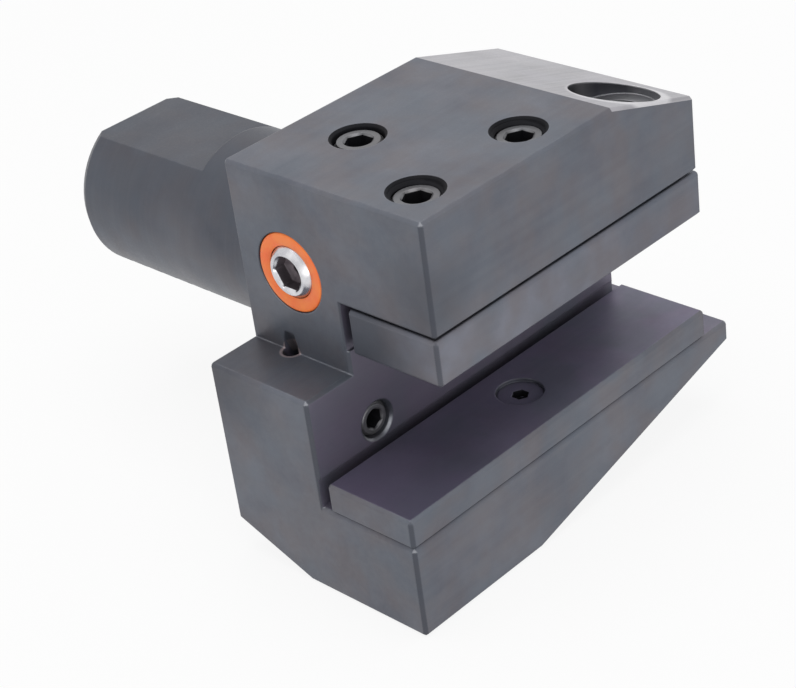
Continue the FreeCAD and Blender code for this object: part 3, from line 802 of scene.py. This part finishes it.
def ballRows(plan):
    r, middle = plan["ballRadius"], -plan["ballDepth"]
    start = math.asin(plan["bore"] / r)
    end = math.pi - math.acos((plan["ballFlat"] - middle) / r)
    rows = []
    for i in range(plan["ballSteps"] + 1):
        turn = start + (end - start) * i / plan["ballSteps"]
        rows.append((r * math.sin(turn), middle - r * math.cos(turn), 0))
    flat, front = plan["key"] / 2, plan["ballFlat"]
    rows.append((flat * 2 / math.sqrt(3) + plan["seatPlay"], front, 0))
    rows.append((flat, front - plan["keyBevel"], 1))
    rows.append((flat, front - plan["keyDepth"], 1))
    rows.append((plan["bore"], front - plan["keyDepth"] - (flat - plan["bore"]) / 2, 0))
    return rows


def collarRows(plan):
    r, depth, long = plan["collarRadius"], plan["beadDepth"], plan["collarLength"]
    seat, middle = plan["ballRadius"] + plan["seatPlay"], -plan["ballDepth"]
    rows = [(seat, -long, 0), (r, -long, 0), (r, -depth - plan["beadHalf"], 0),
            (r + plan["beadHeight"], -depth, 0), (r, plan["beadHalf"] - depth, 0)]
    for i in range(plan["roundSteps"] + 1):
        turn = math.pi / 2 * i / plan["roundSteps"]
        rows.append((r - plan["rimRound"] * (1 - math.cos(turn)), plan["rimRound"] * (math.sin(turn) - 1), 0))
    start = math.acos((-plan["lip"] - middle) / seat)
    rows.append((seat * math.sin(start) + 2 * plan["lip"], 0, 0))
    for i in range(plan["seatSteps"] + 1):
        turn = start + (math.pi / 2 - start) * i / plan["seatSteps"]
        rows.append((seat * math.sin(turn), middle + seat * math.cos(turn), 0))
    return rows


low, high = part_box("nozzle_collar")
nozzleFoot = Vector(((low.x + high.x) / 2, nozzlePlan["face"] * mm, (low.z + high.z) / 2))
nozzleMatrix = onAxis(nozzleFoot, Vector((0, -1, 0))) @ Matrix.Scale(mm, 4)
brightSteel = brightFinish("brightSteel", brightLook, nozzleFoot)
ballWell = (wellShares["reach"] * nozzlePlan["key"], -nozzlePlan["ballDepth"] - nozzlePlan["ballRadius"],
            nozzlePlan["ballFlat"] - wellShares["sill"] * nozzlePlan["keyBevel"])
ballSkin = skinRows("nozzleBall", ballRows(nozzlePlan), nozzlePlan["segments"])
# The ball's key well takes the painted shade
wellFaces(ballSkin, *ballWell)
collarSkin = skinRows("nozzleCollar", collarRows(nozzlePlan), nozzlePlan["segments"])
for skin, node, finishes, body, slotName in (
        (ballSkin, "nozzle_ball", [brightSteel, wellSteel], "ball", "bright_steel"),
        (collarSkin, "nozzle_collar", [orangePlastic], "collar", "orange_plastic")):
    skin.transform(nozzleMatrix)
    finishPiece(skin.name, skin, finishes, sharpFrom["fine"], body, [node])
print("ball nozzle made")


# Camera at the photograph's place
cameraPlan = {"place": Vector((217.355, -194.635, 154.983)), "aim": Vector((1.3944, 2.8036, -18.1616)),
              "roll": -7.998, "lens": 92.66, "sensor": 36.0, "near": 0.01}


def setCamera(plan):
    ahead = (plan["aim"] - plan["place"]).normalized()
    level = ahead.cross(upward).normalized()
    over = level.cross(ahead)
    roll = math.radians(plan["roll"])
    side = level * math.cos(roll) + over * math.sin(roll)
    matrix = Matrix((side, side.cross(ahead), -ahead)).transposed().to_4x4()
    matrix.translation = plan["place"] * mm
    data = bpy.data.cameras.new("camera")
    data.lens = plan["lens"]
    data.sensor_fit = "HORIZONTAL"
    data.sensor_width = plan["sensor"]
    data.clip_start = plan["near"]
    camera = bpy.data.objects.new("camera", data)
    bpy.context.scene.collection.objects.link(camera)
    camera.matrix_world = matrix
    bpy.context.scene.camera = camera


setCamera(cameraPlan)

# Floor, soft light from above and a white surround
stagePlan = {"floorHalf": 2.0, "floorDrop": 0.05 * mm, "floorColour": 0.92, "floorGlow": 0.88, "surround": 0.62}
lampPlan = {"overhead": {"place": Vector((0, 0, 0.6)), "power": 1.5, "size": 0.5},
            "frontFill": {"place": Vector((0.55, -0.22, -0.005)), "power": 1.1, "size": 0.35}}


def seenRays(tree):
    # 1 for rays that show the background: seen directly, in a reflection or through glass
    path = tree.nodes.new("ShaderNodeLightPath").outputs
    direct = calc(tree, "MAXIMUM", path["Is Camera Ray"], path["Is Glossy Ray"])
    return calc(tree, "MAXIMUM", direct, path["Is Transmission Ray"])


def setFloor(plan):
    half = plan["floorHalf"]
    low = cadBox[0].z - plan["floorDrop"]
    mesh = bpy.data.meshes.new("floor")
    mesh.from_pydata([(-half, -half, low), (half, -half, low), (half, half, low), (-half, half, low)], [],
                     [(0, 1, 2, 3)])
    finish = bpy.data.materials.new("paleFloor")
    finish.use_nodes = True
    tree = finish.node_tree
    tree.nodes.clear()
    matt = addNode(tree, "ShaderNodeBsdfDiffuse", {"Color": (*[plan["floorColour"]] * 3, 1)})
    glow = addNode(tree, "ShaderNodeEmission", {"Color": (1, 1, 1, 1), "Strength": 1.0})
    share = calc(tree, "MULTIPLY", seenRays(tree), plan["floorGlow"])
    mixed = addNode(tree, "ShaderNodeMixShader", {0: share, 1: matt.outputs[0], 2: glow.outputs[0]})
    addNode(tree, "ShaderNodeOutputMaterial", {"Surface": mixed.outputs[0]})
    mesh.materials.append(finish)
    floor = bpy.data.objects.new("floor", mesh)
    bpy.context.scene.collection.objects.link(floor)


def setSurround(plan):
    world = bpy.data.worlds.new("paleRoom")
    bpy.context.scene.world = world
    world.use_nodes = True
    tree = world.node_tree
    tree.nodes.clear()
    strength = calc(tree, "MULTIPLY_ADD", seenRays(tree), 1.0 - plan["surround"], plan["surround"])
    sky = addNode(tree, "ShaderNodeBackground", {"Color": (1, 1, 1, 1), "Strength": strength})
    addNode(tree, "ShaderNodeOutputWorld", {"Surface": sky.outputs[0]})


def addLamp(name, plan):
    # Soft square lamp that looks at the middle of the holder
    data = bpy.data.lights.new(name, "AREA")
    data.energy = plan["power"]
    data.size = plan["size"]
    lamp = bpy.data.objects.new(name, data)
    lamp.matrix_world = onAxis(plan["place"], plan["place"])
    bpy.context.scene.collection.objects.link(lamp)


setFloor(stagePlan)
setSurround(stagePlan)
for name, plan in lampPlan.items():
    addLamp(name, plan)
bpy.context.scene.view_settings.view_transform = "Standard"
print("camera, floor and light set")
